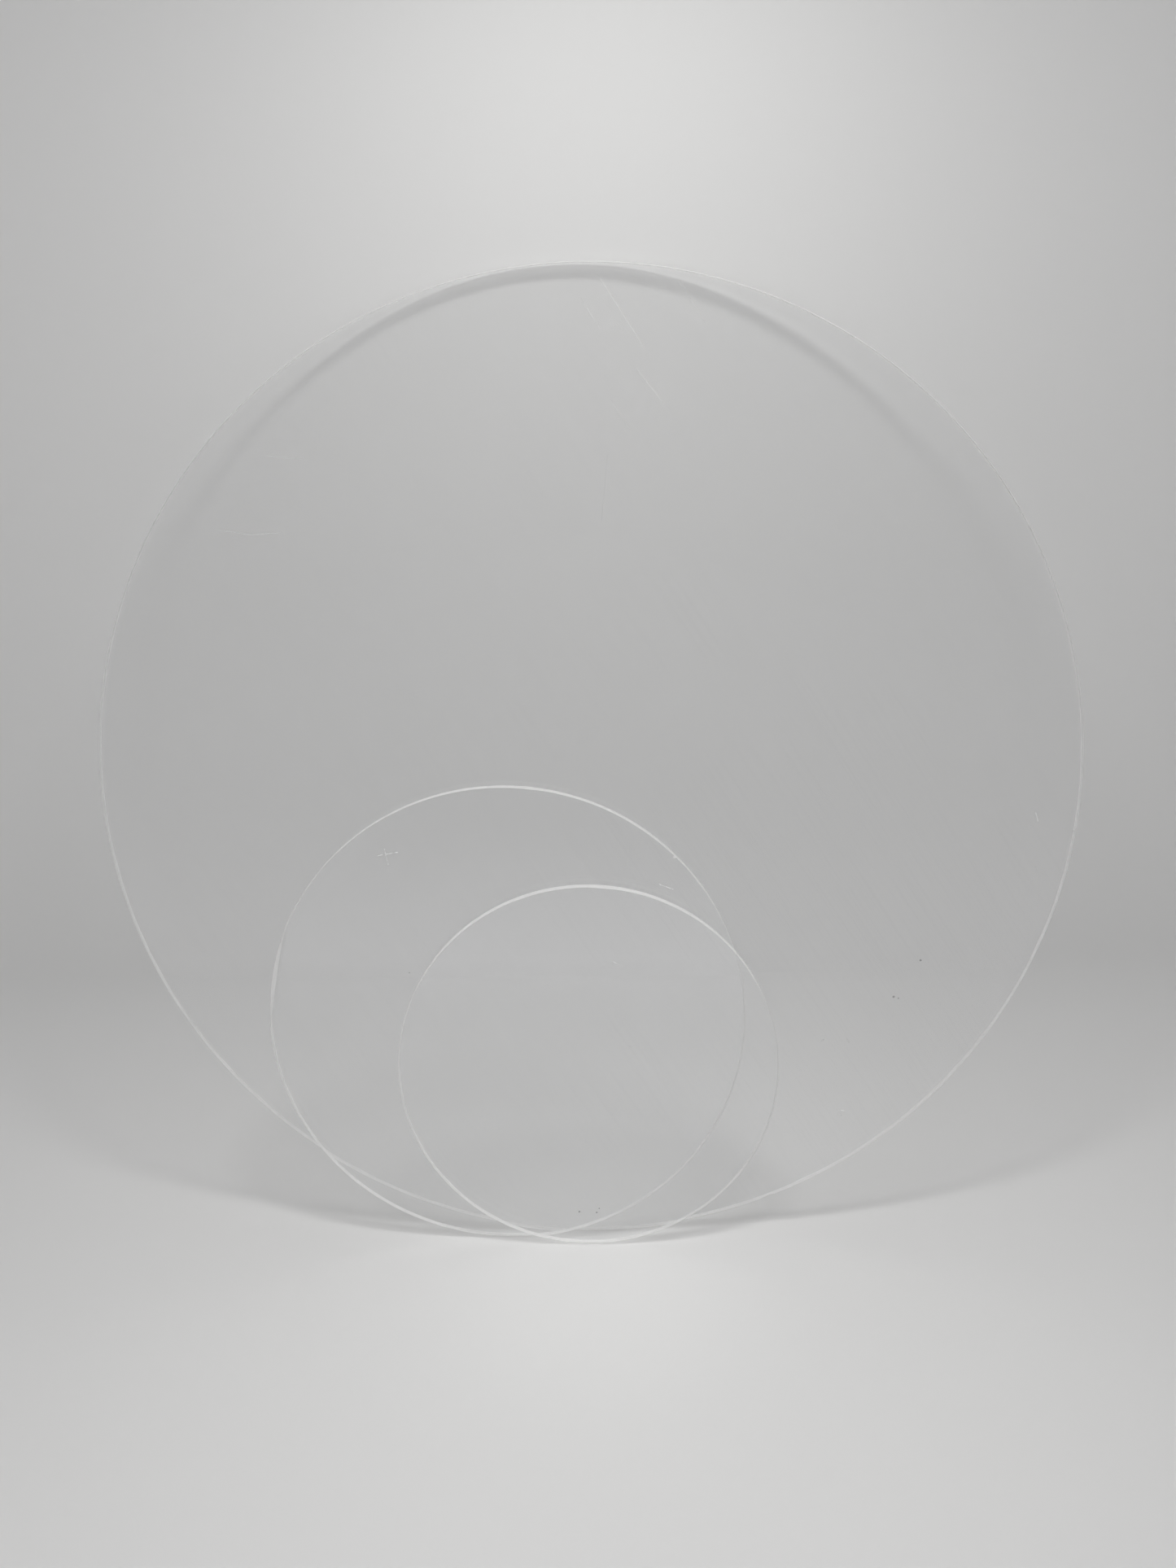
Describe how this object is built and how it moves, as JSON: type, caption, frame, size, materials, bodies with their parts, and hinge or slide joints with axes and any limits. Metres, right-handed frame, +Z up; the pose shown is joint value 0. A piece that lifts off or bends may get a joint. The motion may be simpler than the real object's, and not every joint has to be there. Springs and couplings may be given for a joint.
{
  "type": "circle template",
  "caption": "Nesting clear acrylic circle templates: plain round discs whose rims are drawn around, standing on their rims and leaning back together.",
  "frame": {"origin": "bottom centre of the whole set's bounding box, on the surface that the discs stand on", "axes": "+Z up; -Y towards the viewer, the way the front faces look; +X across the large disc, to the viewer's right. All three discs lean back 15 degrees from upright, towards +Y."},
  "size_m": [0.3, 0.0868, 0.2905],
  "materials": {
    "clear_acrylic": "clear colourless acrylic sheet with polished faces, fine handling scratches and a matt white cut rim"
  },
  "bodies": {
    "large": {"large_disc": "clear_acrylic"},
    "medium": {"medium_disc": "clear_acrylic"},
    "small": {"small_disc": "clear_acrylic"}
  },
  "joints": [
    {"name": "medium_lift", "type": "slide", "parent": "large", "child": "medium", "axis": [0, 0, 1], "range_m": [0, 0.16]},
    {"name": "small_lift", "type": "slide", "parent": "medium", "child": "small", "axis": [0, 0, 1], "range_m": [0, 0.13]}
  ]
}
